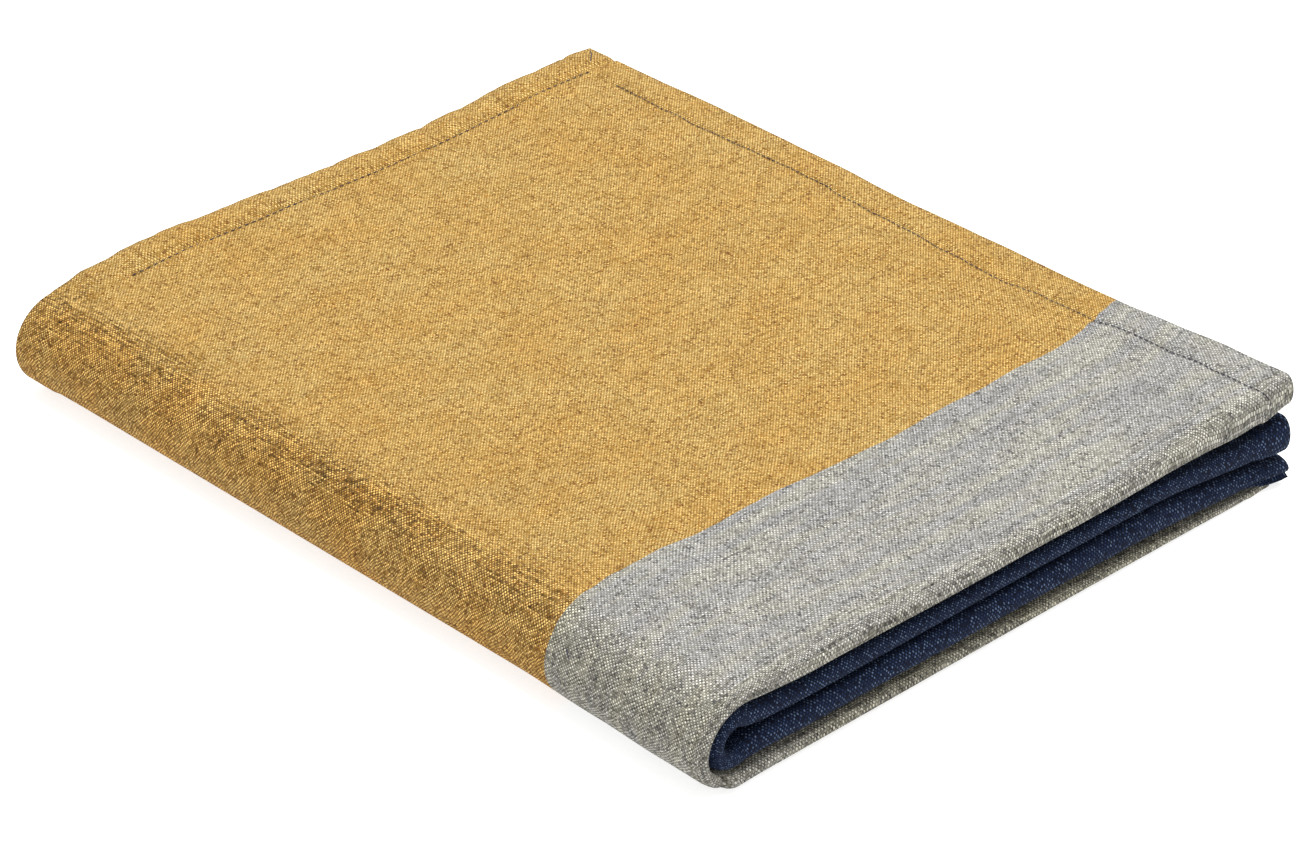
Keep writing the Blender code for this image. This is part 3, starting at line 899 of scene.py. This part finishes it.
def thread_colour(n, t, band, stretched, worn_and_shaded):
    """Weft or warp, whichever is on top, and dark specks and dashes where the nap is thin, more of them with
    wear and as painted shade on the front turns.
    """
    warp_flat = n.mix(band, dye(172, 118, 44), dye(142, 141, 132))
    warp = n.mix(stretched, warp_flat, n.mix(band, dye(128, 78, 22), dye(124, 120, 104)))
    dark = n.mix(band, dye(122, 68, 20), dye(80, 79, 80))
    speck = n.mix(t.rub, dark, n.mix(band, dye(84, 64, 36), dye(62, 62, 56)))
    often = n.add(n.ramp(t.patch, 0.42, 0.68, 0.12, 0.34), n.times(worn_and_shaded, 0.35))
    bare = n.math("LESS_THAN", t.luck, n.times(often, n.add(0.25, n.times(t.warp_over, 0.75))))
    weft_dash = n.add(t.by_weft(0.83, 420.0, 61.0, 2.0, 0.6), n.ramp(t.patch, 0.35, 0.65, -0.04, 0.04))
    warp_dash = n.add(t.by_warp(0.83, 260.0, 71.0, 2.0, 0.6), n.times(worn_and_shaded, 0.10))
    on_top = n.times(t.warp_over, n.ramp(t.fleck, 0.0, 1.0, 0.45, 1.0))
    colour = n.mix(on_top, weft_colour(n, t, band, stretched), warp)
    colour = n.mix(n.times(bare, n.ramp(t.fleck, 0.0, 1.0, 0.35, 0.85)), colour, speck)
    colour = n.mix(n.ramp(weft_dash, 0.59, 0.68, 0.0, 0.50), colour, dark)
    return n.mix(n.ramp(warp_dash, 0.59, 0.68, 0.0, 0.50), colour, speck)


print("the light on the top multiplies a colour by", LIGHT_ON_TOP)


# %% Shade the threads of the right side
def thread_runs(n, t, stretched):
    """Lighter and darker lines: along the weft, along the weave's diagonal, and along ribs where the cloth
    shows wear and, on the front turns, painted shade.
    """
    down_no, up_no = n.less(t.weft_no, t.warp_no), n.add(t.weft_no, t.warp_no)
    diagonal_place = n.place(n.times(down_no, 0.80), n.times(up_no, 0.07), 51.0)
    diagonal = n.ramp(n.noise(diagonal_place, 2.0, 0.6), 0.38, 0.60, -1.0, 1.0)
    at_front = n.times(n.ramp(t.along, 0.418, 0.430), n.ramp(t.along, 0.48, 0.46))
    return n.add(
        n.ramp(t.by_weft(0.71, 110.0, 17.0, 3.0, 0.6), 0.36, 0.62, -0.08, 0.08),
        n.times(diagonal, n.add(0.04, n.times(stretched, 0.24))),
        n.times(n.ramp(t.by_warp(0.90, 16.0, 81.0, 2.0, 0.6), 0.38, 0.60, -0.36, 0.28), t.rub),
        n.times(n.ramp(t.by_weft(0.90, 22.0, 91.0, 2.0, 0.6), 0.38, 0.60, -0.26, 0.14), at_front),
    )


def right_side(n, t):
    """Colour and tone of the right side."""
    edge_at = n.add(t.along, n.times(n.add(t.slub, -0.5), 0.0016))
    band = n.ramp(edge_at, BAND_AT - BAND_EDGE, BAND_AT + BAND_EDGE)
    band = n.times(band, n.ramp(t.along, BAND_END - BAND_EDGE, BAND_END + BAND_EDGE, 1.0, 0.0))
    stretched = n.times(t.opening, n.ramp(band, 0.0, 1.0, 1.0, 0.75))
    # wear on the shoulder and hems, and painted shade on the front turns, broken into patches
    worn_and_shaded = n.times(t.rub, n.ramp(t.by_place(60.0, 95.0, 41.0), 0.35, 0.65, 0.45, 1.0))
    thickness = n.add(n.times(n.add(t.slub, -0.5), 0.7), n.times(n.add(t.warp_slub, -0.5), 0.6))
    chances = n.times(n.add(t.fleck, -0.5), n.add(0.62, n.times(stretched, 0.22)))
    tone = n.add(1.07, thread_runs(n, t, stretched), thickness, chances)
    opened_by = n.times(stretched, n.ramp(t.rub, 0.0, 1.0, 1.0, 0.45))
    open_gaps = n.times(opened_by, n.ramp(t.dome, 0.0, 0.80, -0.34, 0.26))
    gaps = n.add(n.ramp(t.dome, 0.0, 0.80, 0.48, 1.10), open_gaps)
    # up to 8% darker with wear, and as painted shade on the front turns
    tone = n.times(tone, gaps, n.ramp(worn_and_shaded, 0.0, 1.0, 1.0, 0.92))
    colour = thread_colour(n, t, band, stretched, worn_and_shaded)
    streaks = n.ramp(t.streak, 0.30, 0.70, 0.90, 1.05)
    colour = n.mix(1.0, colour, n.mix(band, WHITE, n.place(streaks, streaks, streaks)), "MULTIPLY")
    in_shade = n.times(n.ramp(tone, 0.70, 1.05, 1.0, 0.0), n.ramp(band, 0.0, 1.0, 1.0, 0.15))
    return n.mix(in_shade, colour, (1.05, 0.90, 0.58, 1.0), "MULTIPLY"), tone


print("the edge of the band is blurred over", 2 * BAND_EDGE, "m")


# %% [markdown]
# ## The wrong side
#
# The wrong side shows the navy warp, and a pale thread that comes up between as small specks. It is the same
# weave seen from below, so it uses the same thread numbers. Both sides get the same low bumps, one on each
# thread, and the dull gloss of cotton and linen.

# %% Dye and shade the wrong side
def wrong_side(n, t):
    """Colour and tone of the wrong side."""
    shows = n.math("LESS_THAN", t.luck, n.ramp(t.patch, 0.36, 0.62, 0.70, 1.0))
    speck = n.times(n.less(1.0, t.warp_over), shows, n.ramp(t.dome, 0.30, 0.90))
    pale = n.mix(n.ramp(t.fleck, 0.30, 1.0), dye(40, 64, 108), dye(122, 148, 188))
    thickness = n.add(n.times(n.add(t.slub, -0.5), 0.9), n.times(n.add(t.warp_slub, -0.5), 0.9))
    return n.mix(speck, dye(14, 28, 58), pale), n.add(0.52, thickness, n.times(t.dome, 0.55))


print("the navy is", [round(c, 4) for c in dye(14, 28, 58)[:3]])

# %% Weave both sides
THREAD_BUMP = 0.00026


def make_weave(name, colour_and_tone):
    """The weave seen from one side of the cloth."""
    material = bpy.data.materials.new(name)
    material.use_nodes = True
    n = Nodes(material)
    t = Threads(n)
    t.rub, t.opening = n.on_points("rub"), n.on_points("opened")
    t.slub, t.warp_slub = t.by_weft(0.83, 50.0, 7.0), t.by_warp(0.83, 36.0, 13.0)
    t.patch, t.streak = t.by_place(150.0, 45.0, 3.0, 4.0, 0.65), t.by_place(120.0, 14.0, 31.0)
    n.put(n.shader.inputs["Base Color"], n.shaded(*colour_and_tone(n, t)))
    bump = n.tree.nodes.new("ShaderNodeBump")
    bump.inputs["Strength"].default_value = 1.0
    bump.inputs["Distance"].default_value = THREAD_BUMP
    n.put(bump.inputs["Height"], n.add(t.dome, n.times(t.slub, 0.8)))
    n.put(n.shader.inputs["Normal"], bump.outputs[0])
    n.shader.inputs["Roughness"].default_value = 0.92
    n.shader.inputs["Specular IOR Level"].default_value = 0.15
    return material


cloth.data.materials.append(make_weave("weave_right_side", right_side))
cloth.data.materials.append(make_weave("weave_wrong_side", wrong_side))
thread_data.materials.append(plain_material("hem_thread", srgb(30, 27, 48), 0.7))
print("materials:", [material.name for material in cloth.data.materials])

# %% [markdown]
# ## Tie the pieces to the packed solid
#
# Last we hang both pieces under the packed solid's root. We keep the two boxes, with the folded cloth
# hidden, so the dressed throw can be set against the solid.

for piece in (cloth, thread):
    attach(piece, "root")
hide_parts("folded_cloth")
